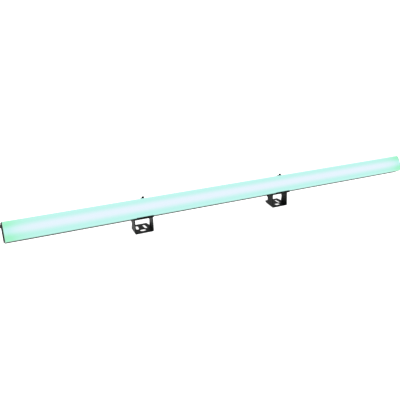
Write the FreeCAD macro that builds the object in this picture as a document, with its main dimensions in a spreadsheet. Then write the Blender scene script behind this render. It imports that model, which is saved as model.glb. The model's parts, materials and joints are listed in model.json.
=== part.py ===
import FreeCAD, Part
import os
import re
import Sketcher

# LED strip batten: a one-metre extruded housing with a loaf-shaped opal diffuser, held by two clip
# saddles that slide along it, each hinged to a small slotted yoke that stands on the floor.
#
# Three frames are used, all in millimetres:
#   batten frame  x along the batten from the left end cap, y from the parting line back, z up the face
#   yoke frame    x from the middle of the yoke, y back from its front edge, z up from the plate's top
#   row frame     +Z up, origin under the middle of the whole part, at the height it stands on

App = FreeCAD
Vector = App.Vector
doc = App.newDocument("led_strip_batten")

# ---------------------------------------------------------------- driving dimensions
DIMENSIONS = [
    # the batten as a whole
    ("batten_length", 1000.0, "over both end caps"),
    ("face_height", 40.0, "height of the profile, up its face"),
    ("housing_depth", 24.0, "parting line to the back"),
    ("diffuser_depth", 12.0, "parting line to the front of the diffuser"),
    ("tilt_angle", 35.0, "degrees the face leans back at rest"),
    ("lip_height", 36.4, "lower parting line above the yoke's plate"),
    # aluminium housing
    ("wall", 1.8, "side walls and back"),
    ("back_round", 3.0, "radius of the back corners"),
    ("web_front", 6.0, "parting line to the LED side of the web"),
    ("web_back", 8.0, "parting line to the driver side of the web"),
    ("channel_bottom", 30.5, "height up the face where the screw channels start"),
    ("channel_height", 34.0, "height of the cap screws' centres"),
    ("channel_one", 11.0, "depth of the front cap screw"),
    ("channel_two", 18.2, "depth of the rear cap screw"),
    ("channel_bore", 1.65, "radius of the screw channels"),
    ("channel_slit", 1.4, "width of the slit that opens each channel"),
    ("groove_front", 1.7, "near side of the diffuser's snap groove"),
    ("groove_back", 3.3, "far side of the diffuser's snap groove"),
    ("groove_depth", 0.7, "depth of the snap groove"),
    ("rib_first", 8.0, "height of the lowest groove down the back"),
    ("rib_pitch", 6.0, "groove to groove"),
    ("rib_width", 1.6, "width of the grooves down the back"),
    ("rib_depth", 0.8, "depth of the grooves down the back"),
    # opal diffuser
    ("skin", 1.6, "thickness of the diffuser"),
    ("front_round", 7.5, "radius of the diffuser's front corners"),
    ("foot", 2.0, "thickness of the feet that rest on the housing's walls"),
    ("leg_inset", 1.95, "side of the profile to the outside of a snap leg"),
    ("leg_width", 1.4, "thickness of a snap leg"),
    ("leg_reach", 4.2, "parting line to the tip of a snap leg"),
    ("barb", 0.5, "how far the snap barb stands out"),
    ("barb_slope", 0.2, "run of the barb's sloping faces"),
    ("leg_chamfer", 0.3, "chamfer at a snap leg's tip"),
    # end caps
    ("cap_thickness", 3.0, "outer plate of an end cap"),
    ("cap_overhang", 0.2, "how far a cap stands out round the profile"),
    ("cap_chamfer", 2.6, "slope round a cap's outer face"),
    ("gasket", 1.0, "thickness of a cap gasket"),
    ("gasket_rim", 2.4, "width of a cap gasket's rim"),
    ("gasket_corner", 3.0, "width of that rim under the diffuser's rounded corners"),
    ("spigot_reach", 4.0, "how far a cap's spigot reaches inwards"),
    ("spigot_front", 7.5, "spigot's front, before the parting line"),
    ("spigot_back", 0.5, "spigot's back, before the parting line"),
    ("spigot_margin", 7.0, "spigot's ends inside the profile's sides"),
    ("spigot_wall", 1.5, "wall of the spigot"),
    ("cap_hole", 2.1, "radius of the screw holes in a cap"),
    ("cap_screw_head", 3.4, "radius of a cap screw's pan head"),
    ("cap_screw_dome", 2.0, "height of that head"),
    ("cap_screw_reach", 14.0, "length of a cap screw under its head"),
    ("cap_screw_shank", 1.6, "radius of a cap screw"),
    ("recess_depth", 1.2, "depth of a cap screw's cross recess"),
    ("recess_width", 1.0, "width of one arm of the recess"),
    ("recess_span", 4.4, "tip to tip of the recess"),
    # LED boards
    ("board_length", 246.0, "one LED board"),
    ("board_gap", 1.4, "gap between two boards"),
    ("board_height", 31.0, "width of an LED board, up the face"),
    ("board_thickness", 1.6, "printed circuit board"),
    ("tape", 0.3, "thermal tape under the boards"),
    ("tape_margin", 1.5, "tape's edge inside the board's edge"),
    ("link_lap", 3.0, "how far a solder bridge laps onto each board"),
    ("link_thickness", 0.8, "solder bridge"),
    ("link_width", 2.0, "solder bridge"),
    ("link_first", 4.0, "lowest bridge above the board's lower edge"),
    ("link_pitch", 7.0, "bridge to bridge"),
    ("led_side", 5.0, "LED package, square"),
    ("led_height", 1.5, "LED package, standing off the board"),
    ("led_pitch", 16.4, "LED to LED along the batten"),
    ("led_well", 2.0, "radius of an LED's emitting well"),
    ("led_well_depth", 0.4, "depth of that well"),
    ("board_screw_pitch", 98.4, "board screw to board screw"),
    ("board_screw_offset", 5.0, "board screws' height above the board's lower edge"),
    ("board_screw_bite", 2.0, "how far a board screw goes into the web"),
    ("board_screw_shank", 1.2, "radius of a board screw"),
    ("board_screw_hole", 1.3, "radius of its hole"),
    ("board_screw_head", 2.2, "radius of its head"),
    ("board_screw_dome", 1.3, "height of its head"),
    # driver board
    ("driver_start", 700.0, "left end of the driver board"),
    ("driver_length", 200.0, "length of the driver board"),
    ("driver_height", 24.0, "width of the driver board, up the face"),
    ("driver_standoff", 2.4, "web to driver board"),
    ("driver_low", 4.0, "lower edge of the driver board"),
    ("driver_hole_in", 6.0, "left holes from the driver board's left end"),
    ("driver_hole_out", 26.0, "right holes from the driver board's right end"),
    ("driver_hole_edge", 3.5, "holes from the driver board's long edges"),
    ("spacer_radius", 2.5, "spacers under the driver board"),
    ("capacitor_radius", 4.0, "capacitor cans"),
    ("capacitor_height", 7.5, "capacitor cans"),
    ("terminal_from_end", 18.0, "terminal block from the driver board's right end"),
    ("terminal_length", 8.0, "terminal block, along the batten"),
    ("terminal_depth", 7.0, "terminal block, standing off the board"),
    ("terminal_height", 21.0, "terminal block, up the face"),
    ("terminal_low", 2.0, "terminal block above the driver board's lower edge"),
    # sockets in the right end cap
    ("socket_depth", 15.0, "sockets' centre behind the parting line"),
    ("socket_low", 9.2, "height of the data socket"),
    ("socket_high", 23.2, "height of the power socket"),
    ("socket_thread", 6.0, "radius of a socket's barrel"),
    ("socket_hole", 6.05, "radius of its hole in the cap"),
    ("socket_flange", 6.9, "radius of its flange"),
    ("socket_flange_height", 1.5, "thickness of its flange"),
    ("socket_out", 9.0, "barrel outside the cap"),
    ("socket_in", 11.0, "barrel inside the cap"),
    ("socket_bore", 4.4, "radius of the mouth"),
    ("socket_mouth", 8.0, "depth of the mouth"),
    ("socket_core", 3.9, "radius of the insert behind the mouth"),
    ("insert_in", 4.0, "insert inside the cap"),
    ("seal", 0.5, "thickness of the seal under a flange"),
    ("seal_radius", 6.6, "outer radius of that seal"),
    ("socket_contact", 0.5, "radius of a contact"),
    ("contact_in", 7.0, "contacts inside the cap"),
    ("contact_length", 9.0, "length of a contact"),
    ("lead_radius", 0.8, "insulated lead"),
    ("socket_ring", 2.4, "radius of the circle of contacts"),
    ("nut_radius", 6.5, "radius of the ring nut behind the cap"),
    ("nut_thickness", 2.5, "thickness of that nut"),
    # clip saddle
    ("left_bracket", 279.9, "left bracket's middle from the left end"),
    ("right_bracket", 623.6, "right bracket's middle from the left end"),
    ("saddle_width", 37.0, "clip saddle, along the batten"),
    ("saddle_metal", 1.5, "sheet of the saddle"),
    ("saddle_gap", 0.3, "gap between saddle and profile"),
    ("jaw_reach", 7.8, "lower jaw's tip in front of the parting line"),
    ("jaw_flange", 2.2, "height of the stiffening flange under that tip"),
    ("hook_reach", 8.6, "upper hook's tip in front of the parting line"),
    ("hook_width", 5.0, "upper hook, along the batten"),
    ("hook_offset", 3.5, "hook's middle to the right of the saddle's middle"),
    ("lip_start", 5.6, "release lip on the hook, in front of the parting line"),
    ("lip_rise", 1.9, "height of that lip"),
    ("lip_lean", 1.0, "how far it leans forward"),
    ("tongue_start", 27.0, "height where the back plate narrows to the hook"),
    ("tongue_step", 3.0, "step in where it starts to narrow"),
    ("hook_flare", 1.5, "widening of the tongue under the hook, each side"),
    ("flare_down", 3.0, "that widening below the profile's top"),
    ("neck_down", 1.0, "hook's straight sides start below the profile's top"),
    ("pivot_back", 30.7, "tilt axis behind the parting line"),
    ("pivot_up", 8.8, "tilt axis above the profile's lower side"),
    ("ear_radius", 6.5, "round ends of the ears and the arms"),
    ("pivot_hole", 2.05, "radius of the holes on the tilt axis"),
    ("clamp_up", 21.0, "clamp screw above the profile's lower side"),
    ("clamp_hole", 2.15, "radius of the clamp screw's hole"),
    ("clamp_stud", 2.0, "radius of the clamp screw"),
    ("stud_point", 1.4, "radius of its plain point"),
    ("stud_gap", 0.05, "point to the back of the housing"),
    ("stud_lap", 0.6, "thread inside the back plate"),
    ("thread_fit", 0.05, "radial gap between a screw and its nut"),
    ("clamp_nut", 3.5, "half the clamp nut's width across its flats"),
    ("clamp_nut_height", 3.0, "thickness of the clamp nut"),
    ("knob_start", 4.5, "clamp nut's plate to the knob"),
    ("knob_height", 8.0, "length of the knob"),
    ("knob_radius", 6.0, "radius of the knob"),
    ("stud_in_knob", 6.0, "how far the clamp screw reaches into the knob"),
    ("flute_radius", 0.9, "flutes round the knob"),
    ("flute_out", 0.35, "flutes' centres outside the knob's radius"),
    # yoke
    ("yoke_width", 42.0, "over both arms"),
    ("yoke_metal", 2.0, "sheet of the yoke"),
    ("yoke_depth", 38.2, "front edge to back edge of the plate"),
    ("yoke_back_width", 34.0, "width of the plate's back edge"),
    ("yoke_taper_start", 25.0, "where the plate starts to narrow"),
    ("arm_back", 23.6, "back edge of an arm"),
    ("arm_neck", 15.0, "height where the arm widens to the tilt axis"),
    ("arm_top_start", 7.2, "depth where the arm's sloping top starts"),
    ("arm_gap", 0.8, "arm's sloping top under the profile"),
    ("arm_flank", 20.0, "degrees round the arm's end to its back edge"),
    ("bend", 2.6, "outer radius of the yoke's bends"),
    ("front_slot_width", 9.0, "width of the slot along the front, for M8"),
    ("front_slot_length", 13.5, "end to end"),
    ("front_slot_back", 11.1, "front slot's middle from the front edge"),
    ("side_slot_width", 6.6, "width of the two side slots, for M6"),
    ("side_slot_length", 17.5, "end to end"),
    ("side_slot_back", 25.0, "side slots' middle from the front edge"),
    ("side_slot_out", 8.8, "side slots' middle from the yoke's middle"),
    ("side_slot_splay", 7.0, "degrees the side slots open towards the front"),
    # tilt hinge hardware
    ("washer", 0.5, "friction washer between ear and arm"),
    ("washer_radius", 5.5, "outer radius of that washer"),
    ("hinge_screw", 2.0, "radius of a hinge screw"),
    ("hinge_head", 3.8, "radius of its button head"),
    ("hinge_head_height", 2.2, "height of that head"),
    ("hinge_nut", 3.5, "half the hinge nut's width across its flats"),
    ("hinge_nut_height", 3.2, "thickness of the hinge nut"),
    ("hinge_tail", 0.8, "hinge screw past its nut"),
    ("hinge_key", 1.25, "half the key recess's width across its flats"),
    ("hinge_key_depth", 1.4, "depth of the key recess"),
    # cutting shapes
    ("cut_past", 0.5, "how far a cut runs past the face it opens"),
    ("cut_clear", 5.0, "how far a trimming sketch reaches outside a piece"),
    ("fuse_lap", 0.1, "how far one feature runs into the next to join it"),
]

sheet = doc.addObject("Spreadsheet::Sheet", "dims")
for row, (alias, size, note) in enumerate(DIMENSIONS, start=1):
    sheet.set("A%d" % row, str(size))
    sheet.setAlias("A%d" % row, alias)
    sheet.set("B%d" % row, note)
doc.recompute()
ALIASES = {alias for alias, _, _ in DIMENSIONS}


def value(expression):
    """The number an expression on the sheet's aliases comes to."""
    return float(sheet.evalExpression(str(expression)))


def linked(expression):
    """The same expression as another object writes it, each alias read from the sheet."""
    return re.sub(r"[A-Za-z_]\w*",
                  lambda word: "dims." + word.group(0) if word.group(0) in ALIASES else word.group(0),
                  str(expression))


# ---------------------------------------------------------------- frames
X_AXIS, Y_AXIS, Z_AXIS = Vector(1, 0, 0), Vector(0, 1, 0), Vector(0, 0, 1)
ALONG = App.Rotation(Y_AXIS, 90)          # turns a +Z cylinder along +X
BACKWARD = App.Rotation(X_AXIS, -90)      # turns a +Z cylinder along +Y
BATTEN = App.Placement(Vector(0, 0, value("lip_height")), App.Rotation(X_AXIS, -value("tilt_angle")))
BRACKETS = {"left": "left_bracket", "right": "right_bracket"}


def on_batten(x="0"):
    """The batten frame, moved x along the batten."""
    return BATTEN.multiply(App.Placement(Vector(value(x), 0, 0), App.Rotation()))


def on_yoke(side):
    return App.Placement(Vector(value(BRACKETS[side]), 0, 0), App.Rotation())


def level(back, up):
    """A point of the batten frame as y and z expressions in the yoke frame."""
    return ("(%s) * cos(tilt_angle) + (%s) * sin(tilt_angle)" % (back, up),
            "lip_height - (%s) * sin(tilt_angle) + (%s) * cos(tilt_angle)" % (back, up))


# ---------------------------------------------------------------- building blocks
parts = {}


def finish(node, shape_object, placement):
    """Name a finished sub-part and put it in place."""
    shape_object.Label = node
    shape_object.Placement = placement
    parts[node] = shape_object
    return shape_object


def block(name, size, corner):
    """A box; size and corner are expressions along x, y and z."""
    box = doc.addObject("Part::Box", name)
    for side, text in zip(("Length", "Width", "Height"), size):
        box.setExpression(side, linked(text))
    for axis, text in zip("xyz", corner):
        box.setExpression("Placement.Base." + axis, linked(text))
    return box


def rod(name, radius, length, start, turn=ALONG):
    """A cylinder that starts at a point and runs along +X, or the way turn points it."""
    cylinder = doc.addObject("Part::Cylinder", name)
    cylinder.setExpression("Radius", linked(radius))
    cylinder.setExpression("Height", linked(length))
    cylinder.Placement = App.Placement(Vector(), turn)
    for axis, text in zip("xyz", start):
        cylinder.setExpression("Placement.Base." + axis, linked(text))
    return cylinder


def hexagon(name, half_flats, length, start, turn=ALONG):
    """A hexagonal prism, for nuts."""
    prism = doc.addObject("Part::Prism", name)
    prism.Polygon = 6
    prism.setExpression("Circumradius", linked("(%s) / cos(30)" % half_flats))
    prism.setExpression("Height", linked(length))
    prism.Placement = App.Placement(Vector(), turn)
    for axis, text in zip("xyz", start):
        prism.setExpression("Placement.Base." + axis, linked(text))
    return prism


def joined(name, pieces):
    fuse = doc.addObject("Part::MultiFuse", name)
    fuse.Shapes = pieces
    return fuse


def without(name, base, tools):
    """base with every tool cut out of it."""
    cut = doc.addObject("Part::Cut", name)
    cut.Base = base
    cut.Tool = tools[0] if len(tools) == 1 else joined(name + "_tools", tools)
    return cut


def group(name, pieces):
    """Separate solids kept together in one node."""
    compound = doc.addObject("Part::Compound", name)
    compound.Links = pieces
    return compound


def new_body(name):
    return doc.addObject("PartDesign::Body", name)


def sketch_on(body, name, plane):
    sketch = body.newObject("Sketcher::SketchObject", name)
    support = next(item for item in body.Origin.OriginFeatures if item.Role == plane)
    sketch.AttachmentSupport = (support, [""])
    sketch.MapMode = "FlatFace"
    return sketch


def pin_point(sketch, geometry, place, x, y):
    """Hold one point of a sketch at two expressions on the sheet."""
    for kind, text in (("DistanceX", x), ("DistanceY", y)):
        index = sketch.addConstraint(Sketcher.Constraint(kind, -1, 1, geometry, place, value(text)))
        sketch.setExpression("Constraints[%d]" % index, linked(text))


def polygon(sketch, corners):
    """A closed outline of straight sides whose corners are pairs of expressions."""
    first = sketch.GeometryCount
    spots = [Vector(value(x), value(y), 0) for x, y in corners]
    for here, there in zip(spots, spots[1:] + spots[:1]):
        sketch.addGeometry(Part.LineSegment(here, there), False)
    for step in range(len(corners)):
        following = first + (step + 1) % len(corners)
        sketch.addConstraint(Sketcher.Constraint("Coincident", first + step, 2, following, 1))
    for step, (x, y) in enumerate(corners):
        pin_point(sketch, first + step, 1, x, y)


def rectangle(sketch, low_x, low_y, high_x, high_y):
    polygon(sketch, [(low_x, low_y), (high_x, low_y), (high_x, high_y), (low_x, high_y)])


def rounded_rectangle(sketch, low_x, low_y, high_x, high_y, low_round=None, high_round=None):
    """A rectangle whose two corners at low x, two at high x, or all four, are rounded."""
    low, high = low_round or "0", high_round or "0"
    corners = [  # corner, its rounding, and the ways from it back along and on along the outline
        ((high_x, low_y), high, (-1, 0), (0, 1)), ((high_x, high_y), high, (0, -1), (-1, 0)),
        ((low_x, high_y), low, (1, 0), (0, -1)), ((low_x, low_y), low, (0, 1), (1, 0))]
    ends = []
    for (x, y), rounding, back, on in corners:
        ends.append([("(%s) + %d * (%s)" % (x, way[0], rounding), "(%s) + %d * (%s)" % (y, way[1], rounding))
                     for way in (back, on)])
    first = sketch.GeometryCount
    spots = [[Vector(value(x), value(y), 0) for x, y in pair] for pair in ends]
    for index, pair in enumerate(spots):
        sketch.addGeometry(Part.LineSegment(spots[index - 1][1], pair[0]), False)
        pin_point(sketch, first + index, 1, *ends[index - 1][1])
        pin_point(sketch, first + index, 2, *ends[index][0])
    for index, ((x, y), rounding, back, on) in enumerate(corners):
        line, following = first + index, first + (index + 1) % 4
        if value(rounding) == 0:
            continue
        radius = value(rounding)
        centre = Vector(value(x) + radius * (back[0] + on[0]), value(y) + radius * (back[1] + on[1]), 0)
        towards = Vector(-(back[0] + on[0]), -(back[1] + on[1]), 0).normalize()
        arc = sketch.addGeometry(Part.Arc(spots[index][0], centre + towards * radius, spots[index][1]), False)
        sketch.addConstraint(Sketcher.Constraint("Coincident", line, 2, arc, 1))
        sketch.addConstraint(Sketcher.Constraint("Coincident", arc, 2, following, 1))
        constraint = sketch.addConstraint(Sketcher.Constraint("Radius", arc, radius))
        sketch.setExpression("Constraints[%d]" % constraint, linked(rounding))


def circle(sketch, x, y, radius):
    index = sketch.addGeometry(Part.Circle(Vector(value(x), value(y), 0), Z_AXIS, value(radius)), False)
    pin_point(sketch, index, 3, x, y)
    constraint = sketch.addConstraint(Sketcher.Constraint("Radius", index, value(radius)))
    sketch.setExpression("Constraints[%d]" % constraint, linked(radius))


def pad(body, sketch, length, start="0", midplane=False, backwards=False):
    """Add material; start moves the sketch along its own normal first."""
    sketch.setExpression("AttachmentOffset.Base.z", linked(start))
    feature = body.newObject("PartDesign::Pad", "Pad")
    feature.Profile = sketch
    feature.setExpression("Length", linked(length))
    feature.Midplane = midplane
    feature.Reversed = backwards
    doc.recompute()
    return feature


def pocket(body, sketch, depth=None, start="0", midplane=True, backwards=False):
    """Take material away, through everything if no depth is given, and check that some has gone."""
    sketch.setExpression("AttachmentOffset.Base.z", linked(start))
    before = body.Shape.Volume
    feature = body.newObject("PartDesign::Pocket", "Pocket")
    feature.Profile = sketch
    if depth is None:
        feature.Type = "ThroughAll"
    else:
        feature.setExpression("Length", linked(depth))
    feature.Midplane = midplane
    feature.Reversed = backwards
    doc.recompute()
    if not body.Shape.Volume < before - 1e-6:
        raise RuntimeError("%s: a pocket took nothing away" % body.Name)
    return feature


def break_edges(body, kind, size, chosen):
    """Fillet or chamfer the edges of the body that are chosen by their middle point."""
    tip = body.Tip
    names = []
    for number, edge in enumerate(tip.Shape.Edges, start=1):
        middle = edge.valueAt((edge.FirstParameter + edge.LastParameter) / 2)
        if chosen(middle, edge):
            names.append("Edge%d" % number)
    if not names:
        raise RuntimeError("%s: no edge to break" % body.Name)
    feature = body.newObject("PartDesign::" + kind, kind)
    feature.Base = (tip, names)
    feature.setExpression({"Fillet": "Radius", "Chamfer": "Size"}[kind], linked(size))
    doc.recompute()
    return feature


def near(number, expression):
    return abs(number - value(expression)) < 1e-3


# ---------------------------------------------------------------- the extruded profile
PROFILE_START = "cap_thickness + gasket"
PROFILE_LENGTH = "batten_length - 2 * cap_thickness - 2 * gasket"
CHANNELS = ("channel_one", "channel_two")
# the middle groove is left out, because the clamp screws press there
BACK_GROOVES = ["rib_first + %d * rib_pitch" % step for step in (0, 1, 3, 4)]


def build_housing():
    """Black aluminium extrusion: LED chamber in front of a web, driver chamber behind it."""
    body = new_body("housing_body")
    shell = sketch_on(body, "housing_outline", "YZ_Plane")
    rounded_rectangle(shell, "0", "0", "housing_depth", "face_height", high_round="back_round")
    pad(body, shell, PROFILE_LENGTH)

    led_chamber = sketch_on(body, "led_chamber", "YZ_Plane")
    rectangle(led_chamber, "0", "wall", "web_front", "face_height - wall")
    pocket(body, led_chamber)

    driver_chamber = sketch_on(body, "driver_chamber", "YZ_Plane")
    rectangle(driver_chamber, "web_back", "wall", "housing_depth - wall", "channel_bottom")
    pocket(body, driver_chamber)

    snap_grooves = sketch_on(body, "snap_grooves", "YZ_Plane")
    rectangle(snap_grooves, "groove_front", "wall - groove_depth", "groove_back", "wall + cut_past")
    rectangle(snap_grooves, "groove_front", "face_height - wall - cut_past",
              "groove_back", "face_height - wall + groove_depth")
    pocket(body, snap_grooves)

    bores = sketch_on(body, "screw_channels", "YZ_Plane")
    for depth in CHANNELS:
        circle(bores, depth, "channel_height", "channel_bore")
    pocket(body, bores)

    slits = sketch_on(body, "channel_slits", "YZ_Plane")
    for depth in CHANNELS:
        rectangle(slits, "%s - channel_slit / 2" % depth, "channel_bottom - cut_past",
                  "%s + channel_slit / 2" % depth, "channel_height")
    pocket(body, slits)

    back_grooves = sketch_on(body, "back_grooves", "YZ_Plane")
    for height in BACK_GROOVES:
        rectangle(back_grooves, "housing_depth - rib_depth", "%s - rib_width / 2" % height,
                  "housing_depth + cut_past", "%s + rib_width / 2" % height)
    pocket(body, back_grooves)

    tapped = sketch_on(body, "board_screw_holes", "XZ_Plane")
    for x in board_screw_places():
        circle(tapped, "%s - (%s)" % (x, PROFILE_START), BOARD_SCREW_UP, "board_screw_hole")
    pocket(body, tapped, "2 * (web_back + cut_past)")
    return finish("housing", body, on_batten(PROFILE_START))


def build_diffuser():
    """Opal loaf that rests on the housing's walls and snaps in with two barbed legs."""
    body = new_body("diffuser_body")
    outline = sketch_on(body, "diffuser_outline", "YZ_Plane")
    rounded_rectangle(outline, "-diffuser_depth", "0", "0", "face_height", low_round="front_round")
    pad(body, outline, PROFILE_LENGTH)

    inset = "leg_inset + leg_width"
    hollow = sketch_on(body, "diffuser_hollow", "YZ_Plane")
    rounded_rectangle(hollow, "skin - diffuser_depth", "skin", "-foot", "face_height - skin",
                      low_round="front_round - skin")
    pocket(body, hollow)
    between_feet = sketch_on(body, "between_feet", "YZ_Plane")
    rectangle(between_feet, "-foot - cut_past", inset, "0", "face_height - (%s)" % inset)
    pocket(body, between_feet)

    leg = [("-foot / 2", "leg_inset"), ("groove_front + barb_slope", "leg_inset"),
           ("groove_front + 2 * barb_slope", "leg_inset - barb"),
           ("groove_back - 2 * barb_slope", "leg_inset - barb"),
           ("groove_back - barb_slope", "leg_inset"), ("leg_reach", "leg_inset + leg_chamfer"),
           ("leg_reach", inset), ("-foot / 2", inset)]
    legs = sketch_on(body, "snap_legs", "YZ_Plane")
    polygon(legs, leg)
    polygon(legs, [(depth, "face_height - (%s)" % height) for depth, height in leg])
    pad(body, legs, PROFILE_LENGTH)
    return finish("diffuser", body, on_batten(PROFILE_START))


# ---------------------------------------------------------------- end caps
def profile_plate(body, name, grow, thickness):
    """A plate with the outline of diffuser and housing together, grown by a margin."""
    outline = sketch_on(body, name, "YZ_Plane")
    profile_outline(outline, grow)
    pad(body, outline, thickness)


def profile_outline(sketch, grow):
    """The outline of diffuser and housing together, grown by a margin all round."""
    rounded_rectangle(sketch, "-diffuser_depth - (%s)" % grow, "-(%s)" % grow,
                      "housing_depth + (%s)" % grow, "face_height + (%s)" % grow,
                      "front_round + (%s)" % grow, "back_round + (%s)" % grow)


def build_end_cap(side):
    """Moulded cap, drawn with its outer face at x = 0 on the left and at x = thickness on the right."""
    body = new_body("end_cap_%s_body" % side)
    profile_plate(body, "cap_outline_" + side, "cap_overhang", "cap_thickness")
    outer_face = "0" if side == "left" else "cap_thickness"
    break_edges(body, "Chamfer", "cap_chamfer", lambda middle, edge: near(middle.x, outer_face))
    spigot = sketch_on(body, "spigot_" + side, "YZ_Plane")
    for inset in ("0", "spigot_wall"):
        rectangle(spigot, "-spigot_front + " + inset, "spigot_margin + " + inset,
                  "-spigot_back - " + inset, "face_height - spigot_margin - " + inset)
    start = "cap_thickness - fuse_lap" if side == "left" else "-spigot_reach"
    pad(body, spigot, "spigot_reach + fuse_lap", start)

    holes = sketch_on(body, "cap_holes_" + side, "YZ_Plane")
    for depth in CHANNELS:
        circle(holes, depth, "channel_height", "cap_hole")
    if side == "right":
        for height in ("socket_low", "socket_high"):
            circle(holes, "socket_depth", height, "socket_hole")
    pocket(body, holes)
    place = "0" if side == "left" else "batten_length - cap_thickness"
    return finish("end_cap_" + side, body, on_batten(place))


def build_cap_gasket(side):
    """Silicone ring squeezed between a cap and the cut end of the profile."""
    body = new_body("cap_gasket_%s_body" % side)
    profile_plate(body, "gasket_outline_" + side, "0", "gasket")
    window = sketch_on(body, "gasket_window_" + side, "YZ_Plane")
    polygon(window, [
        ("-diffuser_depth + gasket_rim", "front_round"), ("-front_round", "gasket_corner"),
        ("housing_depth - gasket_rim", "gasket_rim"),
        ("housing_depth - gasket_rim", "face_height - gasket_rim"),
        ("-front_round", "face_height - gasket_corner"),
        ("-diffuser_depth + gasket_rim", "face_height - front_round")])
    pocket(body, window)
    place = "cap_thickness" if side == "left" else "batten_length - cap_thickness - gasket"
    return finish("cap_gasket_" + side, body, on_batten(place))


def build_cap_screws(side):
    """Two pan-head screws with a cross recess, into the housing's screw channels."""
    screws = []
    left = side == "left"
    for number, depth in enumerate(CHANNELS):
        name = "cap_screw_%s_%d_" % (side, number)
        head_start = "-cap_screw_dome" if left else "batten_length"
        shank_start = "0" if left else "batten_length - cap_screw_reach"
        head = rod(name + "head", "cap_screw_head", "cap_screw_dome", (head_start, depth, "channel_height"))
        shank = rod(name + "shank", "cap_screw_shank", "cap_screw_reach",
                    (shank_start, depth, "channel_height"))
        whole = joined(name + "blank", [head, shank])
        recess_start = "-cap_screw_dome" if left else "batten_length + cap_screw_dome - recess_depth"
        arms = [block("%sslot_%d" % (name, index), ("recess_depth", across, up),
                      (recess_start, "%s - %s / 2" % (depth, across), "channel_height - %s / 2" % up))
                for index, (across, up) in enumerate((("recess_width", "recess_span"),
                                                      ("recess_span", "recess_width")))]
        screws.append(without(name + "screw", whole, arms))
    return finish("cap_screws_" + side, group("cap_screws_%s_group" % side, screws), on_batten())


# ---------------------------------------------------------------- LED boards
BOARDS = 4
LEDS_PER_BOARD = 15
SCREWS_PER_BOARD = 3
LINKS_PER_JOIN = 4
BOARDS_START = "(batten_length - %d * board_length - %d * board_gap) / 2" % (BOARDS, BOARDS - 1)
BOARD_LOW = "(face_height - board_height) / 2"
BOARD_FRONT = "web_front - tape - board_thickness"
BOARD_SCREW_UP = BOARD_LOW + " + board_screw_offset"


def board_start(number):
    return "%s + %d * (board_length + board_gap)" % (BOARDS_START, number)


def board_screw_x(number, screw):
    middle = "%s + board_length / 2" % board_start(number)
    return "%s + %d * board_screw_pitch" % (middle, screw - 1)


def board_screw_places():
    return [board_screw_x(number, screw) for number in range(BOARDS) for screw in range(SCREWS_PER_BOARD)]


def build_led_board(number):
    name = "led_board_%d" % (number + 1)
    plate = block(name + "_plate", ("board_length", "board_thickness", "board_height"),
                  (board_start(number), BOARD_FRONT, BOARD_LOW))
    holes = [rod("%s_hole_%d" % (name, screw), "board_screw_hole", "board_thickness + 2 * cut_past",
                 (board_screw_x(number, screw), BOARD_FRONT + " - cut_past", BOARD_SCREW_UP), BACKWARD)
             for screw in range(SCREWS_PER_BOARD)]
    return finish(name, without(name + "_drilled", plate, holes), on_batten())


def build_led_packages(number):
    """One board's row of square LED packages, each with its round emitting well."""
    name = "led_packages_%d" % (number + 1)
    front = BOARD_FRONT + " - led_height"
    packages = []
    for led in range(LEDS_PER_BOARD):
        shift = led - (LEDS_PER_BOARD - 1) / 2
        middle = "%s + board_length / 2 + %s * led_pitch" % (board_start(number), shift)
        case = block("%s_case_%d" % (name, led), ("led_side", "led_height", "led_side"),
                     (middle + " - led_side / 2", front, "(face_height - led_side) / 2"))
        well = rod("%s_well_%d" % (name, led), "led_well", "led_well_depth + cut_past",
                   (middle, front + " - cut_past", "face_height / 2"), BACKWARD)
        packages.append(without("%s_%d" % (name, led), case, [well]))
    return finish(name, group(name + "_group", packages), on_batten())


def build_thermal_tape():
    """Thermal tape between boards and web, with a hole round each board screw."""
    length = "%d * board_length + %d * board_gap" % (BOARDS, BOARDS - 1)
    strip = block("tape_strip", (length, "tape", "board_height - 2 * tape_margin"),
                  (BOARDS_START, "web_front - tape", BOARD_LOW + " + tape_margin"))
    holes = [rod("tape_hole_%d" % index, "board_screw_hole", "tape + 2 * cut_past",
                 (x, "web_front - tape - cut_past", BOARD_SCREW_UP), BACKWARD)
             for index, x in enumerate(board_screw_places())]
    return finish("thermal_tape", without("tape_cut", strip, holes), on_batten())


def build_board_links():
    """Solder bridges that carry power and data from one LED board to the next."""
    links = []
    for number in range(1, BOARDS):
        for lane in range(LINKS_PER_JOIN):
            links.append(block("board_link_%d_%d" % (number, lane),
                               ("board_gap + 2 * link_lap", "link_thickness", "link_width"),
                               ("%s - board_gap - link_lap" % board_start(number),
                                BOARD_FRONT + " - link_thickness",
                                "%s + link_first + %d * link_pitch" % (BOARD_LOW, lane))))
    return finish("board_links", group("board_links_group", links), on_batten())


def build_board_screws():
    screws = []
    for index, x in enumerate(board_screw_places()):
        head = rod("board_screw_head_%d" % index, "board_screw_head", "board_screw_dome",
                   (x, BOARD_FRONT + " - board_screw_dome", BOARD_SCREW_UP), BACKWARD)
        shank = rod("board_screw_shank_%d" % index, "board_screw_shank",
                    "board_thickness + tape + board_screw_bite", (x, BOARD_FRONT, BOARD_SCREW_UP), BACKWARD)
        screws.append(joined("board_screw_%d" % index, [head, shank]))
    return finish("board_screws", group("board_screws_group", screws), on_batten())


# ---------------------------------------------------------------- driver board
DRIVER_FRONT = "web_back + driver_standoff"
DRIVER_BACK = DRIVER_FRONT + " + board_thickness"
DRIVER_CORNERS = [(x, z) for z in ("driver_hole_edge", "driver_height - driver_hole_edge")
                  for x in ("driver_hole_in", "driver_length - driver_hole_out")]
CAPACITORS = (30, 46, 118)               # along the board from its left end
# along the board, then length, height and depth
CHIPS = ((64, 8, 8, 2), (84, 12, 12, 5.5), (138, 10, 7, 1.8), (156, 7, 7, 1.8))
TERMINAL_START = "driver_start + driver_length - terminal_from_end"


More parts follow.
